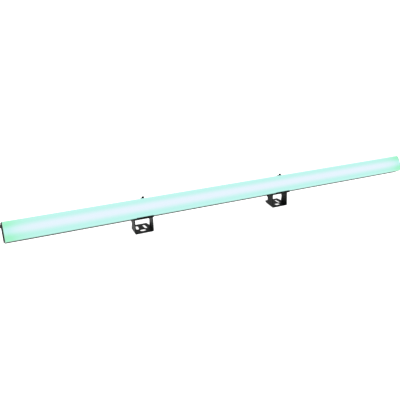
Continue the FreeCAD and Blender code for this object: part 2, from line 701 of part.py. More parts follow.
def build_driver_board():
    plate = block("driver_plate", ("driver_length", "board_thickness", "driver_height"),
                  ("driver_start", DRIVER_FRONT, "driver_low"))
    holes = [rod("driver_hole_%d" % index, "board_screw_hole", "board_thickness + 2 * cut_past",
                 ("driver_start + " + x, DRIVER_FRONT + " - cut_past", "driver_low + " + z), BACKWARD)
             for index, (x, z) in enumerate(DRIVER_CORNERS)]
    return finish("driver_board", without("driver_drilled", plate, holes), on_batten())


def build_driver_spacers():
    spacers = []
    for index, (x, z) in enumerate(DRIVER_CORNERS):
        start = ("driver_start + " + x, "web_back", "driver_low + " + z)
        sleeve = rod("spacer_sleeve_%d" % index, "spacer_radius", "driver_standoff", start, BACKWARD)
        bore = rod("spacer_bore_%d" % index, "board_screw_hole", "driver_standoff", start, BACKWARD)
        spacers.append(without("spacer_%d" % index, sleeve, [bore]))
    return finish("driver_spacers", group("driver_spacers_group", spacers), on_batten())


def build_driver_screws():
    screws = []
    for index, (x, z) in enumerate(DRIVER_CORNERS):
        across, up = "driver_start + " + x, "driver_low + " + z
        head = rod("driver_screw_head_%d" % index, "board_screw_head", "board_screw_dome",
                   (across, DRIVER_BACK, up), BACKWARD)
        shank = rod("driver_screw_shank_%d" % index, "board_screw_shank", "board_thickness + driver_standoff",
                    (across, "web_back", up), BACKWARD)
        screws.append(joined("driver_screw_%d" % index, [head, shank]))
    return finish("driver_screws", group("driver_screws_group", screws), on_batten())


def build_driver_components():
    """The taller parts on the driver board: coils, capacitors, chips and the terminal block."""
    middle = "driver_low + driver_height / 2"
    pieces = []
    for index, along in enumerate(CAPACITORS):
        pieces.append(rod("driver_capacitor_%d" % index, "capacitor_radius", "capacitor_height",
                          ("driver_start + %s" % along, DRIVER_BACK, middle), BACKWARD))
    for index, (along, length, height, depth) in enumerate(CHIPS):
        pieces.append(block("driver_chip_%d" % index, (length, depth, height),
                            ("driver_start + %s" % along, DRIVER_BACK, "%s - %s / 2" % (middle, height))))
    pieces.append(block("driver_terminal", ("terminal_length", "terminal_depth", "terminal_height"),
                        (TERMINAL_START, DRIVER_BACK, "driver_low + terminal_low")))
    return finish("driver_components", group("driver_components_group", pieces), on_batten())


# ---------------------------------------------------------------- sockets in the right cap
SOCKETS = {"power": "socket_high", "data": "socket_low"}
CONTACTS = 4


def socket_at(x, height):
    return ("batten_length + (%s)" % x, "socket_depth", height)


def contact_places(height):
    """Contacts stand on a circle round the socket's axis, a quarter turn apart."""
    for number in range(CONTACTS):
        angle = 45 + 360 * number // CONTACTS
        back = "socket_depth + socket_ring * cos(%d)" % angle
        yield number, back, "%s + socket_ring * sin(%d)" % (height, angle)


def build_socket(kind):
    """Round chassis socket: flanged barrel, moulded insert, contacts, seal and ring nut."""
    height = SOCKETS[kind]
    name = kind + "_socket"
    inside = "-cap_thickness - socket_in"
    length = "cap_thickness + socket_in + socket_out"
    barrel = rod(name + "_barrel", "socket_thread", length, socket_at(inside, height))
    flange = rod(name + "_flange", "socket_flange", "socket_flange_height", socket_at("seal", height))
    mouth = rod(name + "_mouth", "socket_bore", "socket_mouth",
                socket_at("socket_out - socket_mouth", height))
    rear = rod(name + "_rear", "socket_core", length + " - socket_mouth", socket_at(inside, height))
    shell = without(name + "_bored", joined(name + "_blank", [barrel, flange]), [mouth, rear])
    finish(name + "_shell", shell, on_batten())

    insert_length = "cap_thickness + insert_in + socket_out - socket_mouth"
    core = rod(name + "_core", "socket_core", insert_length, socket_at("-cap_thickness - insert_in", height))
    holes = [rod("%s_insert_hole_%d" % (name, number), "socket_contact", insert_length,
                 ("batten_length - cap_thickness - insert_in", y, z))
             for number, y, z in contact_places(height)]
    finish(name + "_insert", without(name + "_drilled", core, holes), on_batten())

    contacts = [rod("%s_contact_%d" % (name, number), "socket_contact", "contact_length",
                    ("batten_length - cap_thickness - contact_in", y, z))
                for number, y, z in contact_places(height)]
    finish(name + "_contacts", group(name + "_contact_group", contacts), on_batten())

    seal = without(name + "_seal_ring",
                   rod(name + "_seal_outer", "seal_radius", "seal", socket_at("0", height)),
                   [rod(name + "_seal_inner", "socket_hole", "seal", socket_at("0", height))])
    finish(name + "_seal", seal, on_batten())

    nut_start = "-cap_thickness - nut_thickness"
    nut = without(name + "_nut_ring",
                  rod(name + "_nut_outer", "nut_radius", "nut_thickness", socket_at(nut_start, height)),
                  [rod(name + "_nut_inner", "socket_hole", "nut_thickness", socket_at(nut_start, height))])
    finish(name + "_nut", nut, on_batten())


def build_socket_leads(kind):
    """Insulated wires from a socket's contacts straight to the driver board's terminal block."""
    height = SOCKETS[kind]
    start = TERMINAL_START + " + terminal_length"
    reach = "batten_length - cap_thickness - contact_in - (%s)" % start
    leads = [rod("%s_lead_%d" % (kind, number), "lead_radius", reach, (start, y, z))
             for number, y, z in contact_places(height)]
    return finish(kind + "_leads", group(kind + "_leads_group", leads), on_batten())


# ---------------------------------------------------------------- clip saddles
SADDLE_OUT = "saddle_gap + saddle_metal"


def build_saddle(side):
    """Sprung clip round the profile: a wide jaw below, a narrow hook above, two ears behind."""
    body = new_body("saddle_%s_body" % side)
    outline = sketch_on(body, "saddle_outside_" + side, "YZ_Plane")
    profile_outline(outline, SADDLE_OUT)
    pad(body, outline, "saddle_width", midplane=True)
    inside = sketch_on(body, "saddle_inside_" + side, "YZ_Plane")
    profile_outline(inside, "saddle_gap")
    pocket(body, inside)

    front, below, above = "-diffuser_depth - cut_clear", "-cut_clear", "face_height + cut_clear"
    mouth = sketch_on(body, "saddle_mouth_" + side, "YZ_Plane")
    polygon(mouth, [(front, below), ("-jaw_reach", below), ("-jaw_reach", "face_height / 2"),
                    ("-hook_reach", "face_height / 2"), ("-hook_reach", above), (front, above)])
    pocket(body, mouth)

    shoulders = sketch_on(body, "saddle_shoulders_" + side, "XZ_Plane")
    for sign in "-+":
        outside, hook = sign + "(saddle_width / 2 %s)", "hook_offset " + sign + " (hook_width / 2 %s)"
        polygon(shoulders, [
            (outside % "+ cut_past", "tongue_start"), (outside % "- tongue_step", "tongue_start"),
            (hook % "+ hook_flare", "face_height - flare_down"), (hook % "", "face_height - neck_down"),
            (hook % "", above), (outside % "+ cut_past", above)])
    pocket(body, shoulders)

    flange = sketch_on(body, "jaw_flange_" + side, "YZ_Plane")
    rectangle(flange, "-jaw_reach", "-(saddle_gap + saddle_metal + jaw_flange)",
              "-jaw_reach + saddle_metal", "-(saddle_gap + saddle_metal / 2)")
    pad(body, flange, "saddle_width", midplane=True)

    lip = sketch_on(body, "release_lip_" + side, "YZ_Plane")
    root = "face_height + saddle_gap + saddle_metal / 2"
    tip = "face_height + saddle_gap + saddle_metal + lip_rise"
    polygon(lip, [("-lip_start", root), ("-lip_start - lip_lean", tip),
                  ("-lip_start - lip_lean - saddle_metal", tip), ("-lip_start - saddle_metal", root)])
    pad(body, lip, "hook_width", "hook_offset - hook_width / 2")

    for direction in (-1, 1):
        hand = "left" if direction < 0 else "right"
        ear = sketch_on(body, "ear_%s_%s" % (side, hand), "YZ_Plane")
        rectangle(ear, "housing_depth + saddle_gap + saddle_metal / 2", "pivot_up - ear_radius",
                  "pivot_back", "pivot_up + ear_radius")
        inner = "saddle_width / 2 - saddle_metal" if direction > 0 else "-saddle_width / 2"
        pad(body, ear, "saddle_metal", inner)
        end = sketch_on(body, "ear_end_%s_%s" % (side, hand), "YZ_Plane")
        circle(end, "pivot_back", "pivot_up", "ear_radius")
        pad(body, end, "saddle_metal", inner)

    hinge_holes = sketch_on(body, "ear_holes_" + side, "YZ_Plane")
    circle(hinge_holes, "pivot_back", "pivot_up", "pivot_hole")
    pocket(body, hinge_holes)
    clamp = sketch_on(body, "clamp_hole_" + side, "XZ_Plane")
    circle(clamp, "0", "clamp_up", "clamp_hole")
    pocket(body, clamp, "2 * (housing_depth + cut_clear)")
    return finish("saddle_" + side, body, on_batten(BRACKETS[side]))


PLATE_BACK = "housing_depth + saddle_gap + saddle_metal"
FLUTES = 12


def build_clamp(side):
    """The screw that holds a saddle where it has been slid: pressed nut, stud and knurled knob."""
    nut = without("clamp_nut_%s_bored" % side,
                  hexagon("clamp_nut_%s_blank" % side, "clamp_nut", "clamp_nut_height",
                          ("0", PLATE_BACK, "clamp_up"), BACKWARD),
                  [rod("clamp_nut_%s_bore" % side, "clamp_stud + thread_fit", "clamp_nut_height",
                       ("0", PLATE_BACK, "clamp_up"), BACKWARD)])
    finish("clamp_nut_" + side, nut, on_batten(BRACKETS[side]))

    knob_start = PLATE_BACK + " + knob_start"
    point = rod("clamp_stud_%s_point" % side, "stud_point", "saddle_gap + saddle_metal",
                ("0", "housing_depth + stud_gap", "clamp_up"), BACKWARD)
    thread = rod("clamp_stud_%s_thread" % side, "clamp_stud", "knob_start + stud_in_knob + stud_lap",
                 ("0", PLATE_BACK + " - stud_lap", "clamp_up"), BACKWARD)
    stud = joined("clamp_stud_%s_joined" % side, [point, thread])
    finish("clamp_stud_" + side, stud, on_batten(BRACKETS[side]))

    grip = rod("knob_%s_grip" % side, "knob_radius", "knob_height", ("0", knob_start, "clamp_up"), BACKWARD)
    flutes = []
    for number in range(FLUTES):
        angle = 360 * number // FLUTES
        flutes.append(rod("knob_%s_flute_%d" % (side, number), "flute_radius", "knob_height",
                          ("(knob_radius + flute_out) * cos(%d)" % angle, knob_start,
                           "clamp_up + (knob_radius + flute_out) * sin(%d)" % angle), BACKWARD))
    socket = rod("knob_%s_socket" % side, "clamp_stud", "stud_in_knob",
                 ("0", knob_start, "clamp_up"), BACKWARD)
    knob = without("knob_%s_cut" % side, grip, flutes + [socket])
    finish("clamp_knob_" + side, knob, on_batten(BRACKETS[side]))


# ---------------------------------------------------------------- yokes
def slot_outline(sketch, x, y, length, width, turn):
    """A round-ended slot about a point, its long side turned from +X by some degrees."""
    direction = App.Rotation(Z_AXIS, value(turn)).multVec(X_AXIS)
    across = Vector(-direction.y, direction.x, 0)
    middle = Vector(value(x), value(y), 0)
    radius = value(width) / 2
    reach = value(length) / 2 - radius
    ends = [middle - direction * reach, middle + direction * reach]
    sides = [(ends[0] - across * radius, ends[1] - across * radius),
             (ends[1] + across * radius, ends[0] + across * radius)]
    first = sketch.GeometryCount
    sketch.addGeometry(Part.LineSegment(*sides[0]), False)
    sketch.addGeometry(Part.Arc(sides[0][1], ends[1] + direction * radius, sides[1][0]), False)
    sketch.addGeometry(Part.LineSegment(*sides[1]), False)
    sketch.addGeometry(Part.Arc(sides[1][1], ends[0] - direction * radius, sides[0][0]), False)
    for index in (first + 1, first + 3):
        constraint = sketch.addConstraint(Sketcher.Constraint("Radius", index, radius))
        sketch.setExpression("Constraints[%d]" % constraint, linked("(%s) / 2" % width))
    for index, sign in ((first + 1, "+"), (first + 3, "-")):
        reach_text = "((%s) - (%s)) / 2" % (length, width)
        pin_point(sketch, index, 3, "(%s) %s %s * cos(%s)" % (x, sign, reach_text, turn),
                  "(%s) %s %s * sin(%s)" % (y, sign, reach_text, turn))


ARM_TOP = level("arm_top_start", "-arm_gap")
ARM_CORNER = level("pivot_back - ear_radius", "-arm_gap")
ARM_TANGENT = level("pivot_back - ear_radius", "pivot_up")
PIVOT = level("pivot_back", "pivot_up")


def build_yoke(side):
    """Folded steel yoke: slotted plate, and two arms that rise to the tilt axis behind the batten."""
    body = new_body("yoke_%s_body" % side)
    arms = sketch_on(body, "arms_" + side, "YZ_Plane")
    polygon(arms, [
        ("0", "-yoke_metal"), ("0", "0"), ARM_TOP, ARM_CORNER, ARM_TANGENT,
        ("%s + ear_radius * sin(arm_flank)" % PIVOT[0], "%s - ear_radius * cos(arm_flank)" % PIVOT[1]),
        ("arm_back", "arm_neck"), ("arm_back", "-yoke_metal")])
    pad(body, arms, "yoke_width", midplane=True)
    ends = sketch_on(body, "arm_ends_" + side, "YZ_Plane")
    circle(ends, PIVOT[0], PIVOT[1], "ear_radius")
    pad(body, ends, "yoke_width", midplane=True)

    inside = sketch_on(body, "between_arms_" + side, "XZ_Plane")
    half = "(yoke_width / 2 - yoke_metal)"
    rectangle(inside, "-" + half, "0", half, "lip_height + cut_clear")
    pocket(body, inside, "4 * yoke_depth")

    plate = sketch_on(body, "plate_" + side, "XY_Plane")
    polygon(plate, [
        ("-yoke_width / 2", "arm_back / 2"), ("yoke_width / 2", "arm_back / 2"),
        ("yoke_width / 2", "yoke_taper_start"), ("yoke_back_width / 2", "yoke_depth"),
        ("-yoke_back_width / 2", "yoke_depth"), ("-yoke_width / 2", "yoke_taper_start")])
    pad(body, plate, "yoke_metal", backwards=True)

    def bottom_fold(middle, edge):
        along_y = abs(edge.tangentAt(edge.FirstParameter).y) > 0.999
        return along_y and near(abs(middle.x), "yoke_width / 2") and near(middle.z, "-yoke_metal")
    break_edges(body, "Fillet", "bend", bottom_fold)

    def inner_fold(middle, edge):
        along_y = abs(edge.tangentAt(edge.FirstParameter).y) > 0.999
        return along_y and near(abs(middle.x), half) and near(middle.z, "0")
    break_edges(body, "Fillet", "bend - yoke_metal", inner_fold)

    slots = sketch_on(body, "slots_" + side, "XY_Plane")
    slot_outline(slots, "0", "front_slot_back", "front_slot_length", "front_slot_width", "0")
    for sign in "-+":
        slot_outline(slots, sign + "side_slot_out", "side_slot_back", "side_slot_length",
                     "side_slot_width", "90 %s side_slot_splay" % sign)
    pocket(body, slots, "4 * yoke_metal")

    holes = sketch_on(body, "arm_holes_" + side, "YZ_Plane")
    circle(holes, PIVOT[0], PIVOT[1], "pivot_hole")
    pocket(body, holes)
    return finish("yoke_" + side, body, on_yoke(side))


HINGE_SIDES = (("left", -1), ("right", 1))
HINGE_TURN = {-1: App.Rotation(Y_AXIS, -90), 1: ALONG}


def outward(sign, distance):
    return "%d * (%s)" % (sign, distance)


def build_hinge(side):
    """Screws, friction washers and nuts on the tilt axis, one set for each arm."""
    screws, washers, nuts = [], [], []
    for hand, sign in HINGE_SIDES:
        name = "%s_%s" % (side, hand)
        turn = HINGE_TURN[sign]

        def at(distance):
            return (outward(sign, distance), PIVOT[0], PIVOT[1])
        ear_inside = "saddle_width / 2 - saddle_metal"
        head = rod("hinge_head_" + name, "hinge_head", "hinge_head_height", at("yoke_width / 2"), turn)
        key = hexagon("hinge_key_" + name, "hinge_key", "hinge_key_depth",
                      at("yoke_width / 2 + hinge_head_height - hinge_key_depth"), turn)
        shank_length = "yoke_width / 2 - (%s) + hinge_nut_height + hinge_tail" % ear_inside
        shank = rod("hinge_shank_" + name, "hinge_screw", shank_length,
                    at("%s - hinge_nut_height - hinge_tail" % ear_inside), turn)
        screws.append(without("hinge_screw_" + name, joined("hinge_blank_" + name, [head, shank]), [key]))
        washers.append(without(
            "hinge_washer_" + name,
            rod("washer_outer_" + name, "washer_radius", "washer", at("saddle_width / 2"), turn),
            [rod("washer_inner_" + name, "pivot_hole", "washer", at("saddle_width / 2"), turn)]))
        nut_start = at("%s - hinge_nut_height" % ear_inside)
        nuts.append(without(
            "hinge_nut_" + name,
            hexagon("nut_blank_" + name, "hinge_nut", "hinge_nut_height", nut_start, turn),
            [rod("nut_bore_" + name, "hinge_screw + thread_fit", "hinge_nut_height", nut_start, turn)]))
    finish("hinge_screws_" + side, group("hinge_screws_%s_group" % side, screws), on_yoke(side))
    finish("hinge_washers_" + side, group("hinge_washers_%s_group" % side, washers), on_yoke(side))
    finish("hinge_nuts_" + side, group("hinge_nuts_%s_group" % side, nuts), on_yoke(side))


# ---------------------------------------------------------------- build everything
build_housing()
build_diffuser()
build_thermal_tape()
build_board_links()
build_board_screws()
for board in range(BOARDS):
    build_led_board(board)
    build_led_packages(board)
build_driver_board()
build_driver_spacers()
build_driver_screws()
build_driver_components()
for end in ("left", "right"):
    build_end_cap(end)
    build_cap_gasket(end)
    build_cap_screws(end)
for socket_kind in SOCKETS:
    build_socket(socket_kind)
    build_socket_leads(socket_kind)
for bracket in BRACKETS:
    build_saddle(bracket)
    build_clamp(bracket)
    build_yoke(bracket)
    build_hinge(bracket)
doc.recompute()

# ---------------------------------------------------------------- origin, checks and export
whole = App.BoundBox()
for part in parts.values():
    whole.add(part.Shape.optimalBoundingBox(False, False))
to_row_frame = App.Placement(Vector(-whole.Center.x, -whole.Center.y, -whole.ZMin), App.Rotation())
for part in parts.values():
    part.Placement = to_row_frame.multiply(part.Placement)
doc.recompute()

failed = [item.Label for item in doc.Objects if "Invalid" in item.State or "Error" in item.State]
empty = [node for node, part in parts.items() if part.Shape.isNull() or not part.Shape.isValid()]
if failed or empty:
    raise RuntimeError("failed: %s; not valid: %s" % (failed, empty))
os.makedirs("parts", exist_ok=True)
for node, part in parts.items():
    part.Shape.exportStep("parts/%s.step" % node)
print("origin moved by", to_row_frame.Base)
print("%d nodes, %d solids" % (len(parts), sum(len(part.Shape.Solids) for part in parts.values())))
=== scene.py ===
# %% [markdown]
# # A lit stage bar and its two brackets
# The object is a one-metre light bar for a stage: a black aluminium extrusion behind a glowing opal
# diffuser, gripped by two black clip saddles that are hinged to slotted floor yokes. Its shape comes from
# a CAD model, so this lesson is about finish: what light does in opal plastic, how powder coat, anodising
# and moulded plastic differ, and how a sharp CAD edge becomes an edge that catches the light. Lengths are
# in metres, and only the camera's lens and sensor are in millimetres.

# %% Load the frame
import json
import math

import bmesh
import bpy
from mathutils import Matrix, Vector


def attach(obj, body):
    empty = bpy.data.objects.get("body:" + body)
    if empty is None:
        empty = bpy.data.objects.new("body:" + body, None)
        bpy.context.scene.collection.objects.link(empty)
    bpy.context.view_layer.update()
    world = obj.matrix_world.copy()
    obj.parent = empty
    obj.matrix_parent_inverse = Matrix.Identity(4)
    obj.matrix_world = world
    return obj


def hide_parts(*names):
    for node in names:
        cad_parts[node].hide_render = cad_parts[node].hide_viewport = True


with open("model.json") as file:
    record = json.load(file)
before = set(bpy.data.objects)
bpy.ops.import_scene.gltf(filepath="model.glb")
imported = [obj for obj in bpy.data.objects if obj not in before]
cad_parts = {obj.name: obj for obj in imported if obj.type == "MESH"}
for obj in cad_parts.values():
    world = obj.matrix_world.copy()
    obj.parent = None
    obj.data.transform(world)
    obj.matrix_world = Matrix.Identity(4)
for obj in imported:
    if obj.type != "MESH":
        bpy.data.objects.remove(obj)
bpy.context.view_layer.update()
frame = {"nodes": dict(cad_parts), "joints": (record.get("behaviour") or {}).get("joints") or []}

nodes = frame["nodes"]

# %% [markdown]
# ## Directions on the bar
# The bar leans back, so world axes are awkward for it. Its clamp screws point straight back out of it,
# and that joint axis gives the bar's own directions: along, back and up its face. Every distance below is
# measured along one of them on the CAD pieces, so that the finishes follow the part if its sizes change.

# %% The bar's own directions
along = Vector((1, 0, 0))
back = next(Vector(joint["axis"]) for joint in frame["joints"] if joint["name"] == "left_clamp_screw")
up = along.cross(back)


def reach(node, direction):
    """The lowest and highest distance of a piece's points along a direction, in metres."""
    distances = [vertex.co.dot(direction) for vertex in nodes[node].data.vertices]
    return min(distances), max(distances)


face_low, face_high = reach("housing", up)
face_middle, face_half = (face_low + face_high) / 2, (face_high - face_low) / 2
parting_line, housing_back = reach("housing", back)
bar_left, bar_right = reach("diffuser", along)
bar_middle, bar_half = (bar_left + bar_right) / 2, (bar_right - bar_left) / 2
print("face %.1f mm high, housing %.1f mm deep, diffuser %.1f mm long"
      % (2000 * face_half, 1000 * (housing_back - parting_line), 2000 * bar_half))

# %% [markdown]
# ## The camera
# The camera stands in front of the bar's left end, about half a metre up, and looks down across it, so
# the bar crosses the picture as a long diagonal. A heading, a pitch and a slight roll are easier to read
# than a matrix, so the matrix is built from those three turns.

# %% Place the camera
CAMERA_PLACE = (-0.51295, -0.88865, 0.5293)
HEADING, PITCH, ROLL = (math.radians(angle) for angle in (25.70, 26.13, 1.92))
LENS, SENSOR_WIDTH = 43.92, 36
camera_data = bpy.data.cameras.new("camera")
camera_data.sensor_width = SENSOR_WIDTH
camera_data.lens = LENS
camera = bpy.data.objects.new("camera", camera_data)
camera.matrix_world = (Matrix.Translation(CAMERA_PLACE) @ Matrix.Rotation(-HEADING, 4, "Z")
                       @ Matrix.Rotation(math.radians(90) - PITCH, 4, "X") @ Matrix.Rotation(ROLL, 4, "Z"))
bpy.context.collection.objects.link(camera)
bpy.context.scene.camera = camera
print("lens of", LENS, "mm at", CAMERA_PLACE)

# %% [markdown]
# ## Writing shaders as sums
# A material is a graph of nodes. Wiring it by hand is long, so a small class wraps one output socket and
# lets Python's operators add the Math nodes: `1 - mask * 0.5` becomes two nodes. Every other node comes
# from one method that takes its type, its settings and what its sockets get.

# %% One value in a shader


class Value:
    """The output of a node, which may vary over a surface."""

    def __init__(self, finish, socket):
        self.finish, self.socket = finish, socket

    def math(self, operation, *terms):
        return self.finish.node("ShaderNodeMath", {"operation": operation}, dict(enumerate(terms)))

    def __add__(self, other):
        return self.math("ADD", self, other)

    def __sub__(self, other):
        return self.math("SUBTRACT", self, other)

    def __rsub__(self, other):
        return self.math("SUBTRACT", other, self)

    def __mul__(self, other):
        return self.math("MULTIPLY", self, other)

    def __truediv__(self, other):
        return self.math("DIVIDE", self, other)

    def __rtruediv__(self, other):
        return self.math("DIVIDE", other, self)

    def __abs__(self):
        return self.math("ABSOLUTE", self)

    __radd__ = __add__
    __rmul__ = __mul__


# %% One finish and its nodes


class Finish:
    """A material being made. Constants go straight onto the sockets of its shader."""

    def __init__(self, name, **constants):
        self.material = bpy.data.materials.new(name)
        self.material.use_nodes = True
        self.tree = self.material.node_tree
        self.shader = self.tree.nodes["Principled BSDF"]
        for socket, constant in constants.items():
            self.feed(self.shader.inputs[socket.replace("_", " ")], constant)
        # the pieces' own coordinates are the frame's metres, so one texture runs on across all pieces
        self.place = self.node("ShaderNodeTexCoord", output="Object")

    def feed(self, socket, given):
        """Link a Value to a socket, or set the socket to a number, a vector or a colour."""
        if isinstance(given, Value):
            self.tree.links.new(given.socket, socket)
        elif socket.type == "RGBA":
            socket.default_value = (*given, 1)
        else:
            socket.default_value = given

    def node(self, kind, settings=None, sockets=None, output=0):
        """Add a node: its type, its settings, then the values or links of its sockets."""
        made = self.tree.nodes.new(kind)
        for name, setting in (settings or {}).items():
            setattr(made, name, setting)
        for key, given in (sockets or {}).items():
            self.feed(made.inputs[key], given)
        return Value(self, made.outputs[output])

    def set(self, **varying):
        """What changes over the surface feeds the shader here."""
        for socket, given in varying.items():
            self.feed(self.shader.inputs[socket.replace("_", " ")], given)
        print(self.material.name, "varies in", ", ".join(varying))
        return self

    def distance(self, direction):
        """Metres along a direction of the bar."""
        return self.node("ShaderNodeVectorMath", {"operation": "DOT_PRODUCT"},
                         {0: self.place, 1: tuple(direction)}, output="Value")

    def sine(self, angle):
        """The sine of an angle that varies over the surface."""
        return self.node("ShaderNodeMath", {"operation": "SINE"}, {0: angle})

    def rise(self, value, low, high):
        """0 below low, 1 above high, and a smooth rise between."""
        return self.node("ShaderNodeMapRange", {"interpolation_type": "SMOOTHSTEP"},
                         {"Value": value, "From Min": low, "From Max": high})

    def mix(self, share, first, second):
        """A colour between two colours."""
        return self.node("ShaderNodeMix", {"data_type": "RGBA"},
                         {"Factor": share, "A": first, "B": second}, output="Result")

    def drawn_out(self, times):
        """The place squeezed along the bar, so that grain in it runs out that many times longer."""
        return self.node("ShaderNodeVectorMath", {"operation": "MULTIPLY"},
                         {0: self.place, 1: (1 / times, 1, 1)})

    def grain(self, size, detail=2, place=None):
        """Cloudy grain from 0 to 1 whose lumps are about size metres across."""
        return self.node("ShaderNodeTexNoise", None,
                         {"Vector": place or self.place, "Scale": 1 / size, "Detail": detail})

    def bump(self, height, strength, depth):
        """A normal that follows a height; depth is in metres."""
        return self.node("ShaderNodeBump", None,
                         {"Strength": strength, "Distance": depth, "Height": height})


# %% Give a finish to pieces


def give(finish, *names):
    """Put a finish on CAD pieces, whose meshes stay as they are."""
    for name in names:
        for slot in nodes[name].material_slots:
            slot.material = finish.material
    print(finish.material.name, "on", ", ".join(names))


def numbered(name, count):
    """The names of a row of pieces, such as led_board_1 to led_board_4."""
    return ["%s_%d" % (name, number) for number in range(1, count + 1)]


# %% [markdown]
# ## The opal diffuser
# Opal acrylic scatters the light of the LEDs behind it. It is brightest and bluest in front of the LEDs,
# and towards both long edges the light has crossed more plastic and turns mint. The last few centimetres
# at each end have LEDs on one side only and turn greener. Close to the parting line the housing's walls
# stand in the way, so the sides of the diffuser fade to a dark green there. Emission is the honest tool,
# because the face is a light source, and its colour is worked out from the height up the face and from
# the distances to an end and to the parting line. A ripple of about 1 % keeps a trace of the LEDs.

# %% The row of LEDs behind the opal
LEDS_ON_BOARD = 15
LED_SIDE = 0.005
leds_left, leds_right = reach("led_packages_1", along)
led_pitch = (leds_right - leds_left - LED_SIDE) / (LEDS_ON_BOARD - 1)
print("LED pitch %.1f mm" % (1000 * led_pitch))

# %% Where the light changes
# shares of the way from the face's middle to its long edges
FACE_TURNS_MINT = {"low": 0.08, "high": 0.72}
# metres in front of the parting line
OUT_OF_SHADE = {"low": 0.001, "high": 0.009}
END_FADE, END_STRENGTH, LOST_IN_MIDDLE, RIPPLE = 0.020, 1.3, 0.75, 0.012
opal = Finish("opal diffuser", Base_Color=(0.02, 0.02, 0.02), Specular_IOR_Level=0.2,
              Emission_Strength=1.0)
from_middle = abs(opal.distance(up) - face_middle) / face_half
edge_share = opal.rise(from_middle, **FACE_TURNS_MINT)
from_end = (bar_half - abs(opal.distance(along) - bar_middle)) / END_FADE
end_share = END_STRENGTH / (1 + from_end * from_end)
no_leds_beside = end_share * (1 - edge_share) * LOST_IN_MIDDLE
ripple = opal.sine((opal.distance(along) - leds_left) * (2 * math.pi / led_pitch))
clear_of_housing = opal.rise(parting_line - opal.distance(back), **OUT_OF_SHADE)
print("the ends' green has halved %.0f mm from each end" % (1000 * END_FADE))

# %% Colours of the light
LIGHT_MIDDLE = (0.755, 0.860, 0.950)
LIGHT_EDGE = (0.480, 0.875, 0.810)
LIGHT_END = (0.330, 0.870, 0.560)
LIGHT_SHADED = (0.060, 0.240, 0.160)
across = opal.mix(edge_share + no_leds_beside + ripple * RIPPLE, LIGHT_MIDDLE, LIGHT_EDGE)
along_face = opal.mix(end_share * edge_share, across, LIGHT_END)
light = opal.mix(clear_of_housing, LIGHT_SHADED, along_face)
draw_lines = opal.grain(size=0.004, place=opal.drawn_out(times=50))
opal.set(Emission_Color=light, Roughness=0.34 + 0.12 * draw_lines,
         Normal=opal.bump(draw_lines, strength=0.12, depth=0.0002))
give(opal, "diffuser")

# %% [markdown]
# ## Black anodised aluminium
# The extrusion is pressed through a die, which leaves faint lines along its whole length, and black
# anodising is a dark, matt skin with very little reflection. The lines are noise drawn out a hundred times
# along the bar, and they change the roughness as well as the height, because the eye picks that up first.

# %% Anodised extrusion
anodised = Finish("black anodised", Specular_IOR_Level=0.06)
die_lines = anodised.grain(size=0.0012, detail=3, place=anodised.drawn_out(times=100))
clouds = anodised.grain(size=0.05)
anodised.set(
    Base_Color=anodised.mix(clouds, (0.0045, 0.0055, 0.0052), (0.0085, 0.0100, 0.0095)),
    Roughness=0.58 + 0.20 * die_lines, Normal=anodised.bump(die_lines, strength=0.25, depth=0.00008))
give(anodised, "housing")

# %% [markdown]
# ## Powder coat on folded steel
# Saddles and yokes are cut from sheet, folded and powder coated. The powder melts into a satin skin with a
# fine orange peel, and where a bracket is handled the skin is polished or scuffed a little paler. Two
# grains do it: a fine one for the peel and a broad one that decides where the scuffs are.

# %% Powder coat
powder = Finish("satin black powder coat", Specular_IOR_Level=0.11)
peel = powder.grain(size=0.0011, detail=1)
wear = powder.rise(powder.grain(size=0.014, detail=5), low=0.56, high=0.74)
powder.set(
    Base_Color=powder.mix(wear * 0.6, (0.0022, 0.0030, 0.0027), (0.010, 0.011, 0.011)),
    Roughness=0.40 + 0.10 * peel + 0.08 * wear, Normal=powder.bump(peel, strength=0.18, depth=0.00012))

# %% [markdown]
# ## Moulded plastic and silicone
# A mould that has been spark eroded gives plastic a fine, even, matt texture. It is finer than the orange
# peel and has no direction. Silicone is softer and duller, with dust that makes it paler in patches. The
# gaskets under the end caps are milky, and where they touch the diffuser they get a painted glow: an
# emission that stands in for the diffuser's light coming through them.

# %% Moulded plastic
moulded = Finish("moulded black plastic", Specular_IOR_Level=0.2)
spark_texture = moulded.grain(size=0.00045)
flow = moulded.grain(size=0.012)
moulded.set(
    Base_Color=moulded.mix(flow, (0.006, 0.008, 0.008), (0.012, 0.015, 0.014)),
    Roughness=0.46 + 0.14 * spark_texture, Normal=moulded.bump(spark_texture, strength=0.3, depth=0.00006))

# %% Silicone seals and gaskets
DUST_SIZE, DUST_DETAIL = 0.003, 4
silicone = Finish("black silicone", Specular_IOR_Level=0.3)
dust = silicone.grain(DUST_SIZE, DUST_DETAIL)
silicone.set(Base_Color=silicone.mix(dust, (0.012, 0.012, 0.012), (0.030, 0.030, 0.029)),
             Roughness=0.70 + 0.20 * dust)
give(silicone, "power_socket_seal", "data_socket_seal")

gasket = Finish("milky silicone gasket", Specular_IOR_Level=0.3, Emission_Strength=1.0)
# painted glow: near the parting line the gasket emits mint light, standing in for the diffuser's light
# through it
painted_glow = gasket.rise(parting_line - gasket.distance(back), low=-0.003, high=0.002)
haze = gasket.grain(DUST_SIZE, DUST_DETAIL)
gasket.set(Base_Color=gasket.mix(haze, (0.10, 0.13, 0.12), (0.16, 0.19, 0.18)), Roughness=0.55 + 0.2 * haze,
           Emission_Color=gasket.mix(painted_glow, (0.0, 0.0, 0.0), (0.28, 0.66, 0.46)))
give(gasket, "cap_gasket_left", "cap_gasket_right")

# %% [markdown]
# ## Bare, plated and blackened metal
# All of these are metals, so their base colour is the colour of their reflection. They differ in that
# colour and in how broken the reflection is. One function makes them all from a dark and a light tone, a
# grain size and a roughness, because that is all that sets them apart at this scale.

# %% Metals


